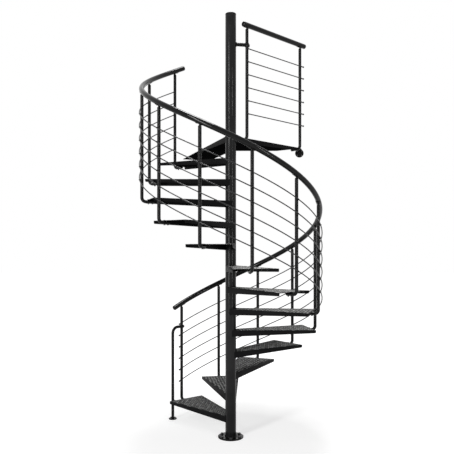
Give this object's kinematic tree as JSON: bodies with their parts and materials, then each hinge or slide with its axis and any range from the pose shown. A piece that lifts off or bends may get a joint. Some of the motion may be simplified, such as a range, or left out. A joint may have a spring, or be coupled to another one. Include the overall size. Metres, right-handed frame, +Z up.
{
  "type": "spiral staircase",
  "caption": "Steel spiral stair: wedge treads climb a central pole inside a round handrail on outside balusters with thin infill rods, up to a guarded landing.",
  "frame": {"origin": "centre of the underside of the base flange, on the pole's axis, at floor level", "axes": "+Z up along the pole; +Y towards the upper floor that the landing meets; +X to the right of someone facing it. Seen from above the stair climbs clockwise."},
  "size_m": [1.7099, 2.4204, 3.988],
  "materials": {
    "frame_paint": "satin black powder coat",
    "checker_plate": "satin black powder coat on checker plate",
    "rail_paint": "semi-gloss black powder coat",
    "rod_coating": "satin black coated rod"
  },
  "bodies": {
    "root": {"baluster_01": "frame_paint", "baluster_02": "frame_paint", "baluster_03": "frame_paint", "baluster_04": "frame_paint", "baluster_05": "frame_paint", "baluster_06": "frame_paint", "baluster_07": "frame_paint", "baluster_08": "frame_paint", "baluster_09": "frame_paint", "baluster_10": "frame_paint", "baluster_11": "frame_paint", "baluster_12": "frame_paint", "baluster_13": "frame_paint", "base_flange": "frame_paint", "brace_foot": "frame_paint", "brace_post": "frame_paint", "guard_infill": "rod_coating", "guard_post_inner": "frame_paint", "guard_post_outer": "frame_paint", "guard_rail": "rail_paint", "guard_tie": "frame_paint", "handrail_lower": "rail_paint", "handrail_upper": "rail_paint", "infill_rod_1": "rod_coating", "infill_rod_2": "rod_coating", "infill_rod_3": "rod_coating", "infill_rod_4": "rod_coating", "infill_rod_5": "rod_coating", "infill_rod_6": "rod_coating", "landing": "checker_plate", "landing_anchor": "frame_paint", "pole_cap": "frame_paint", "pole_lower": "frame_paint", "pole_upper": "frame_paint", "tread_01": "checker_plate", "tread_02": "checker_plate", "tread_03": "checker_plate", "tread_04": "checker_plate", "tread_05": "checker_plate", "tread_06": "checker_plate", "tread_07": "checker_plate", "tread_08": "checker_plate", "tread_09": "checker_plate", "tread_10": "checker_plate", "tread_11": "checker_plate", "tread_12": "checker_plate", "tread_13": "checker_plate"}
  },
  "joints": []
}
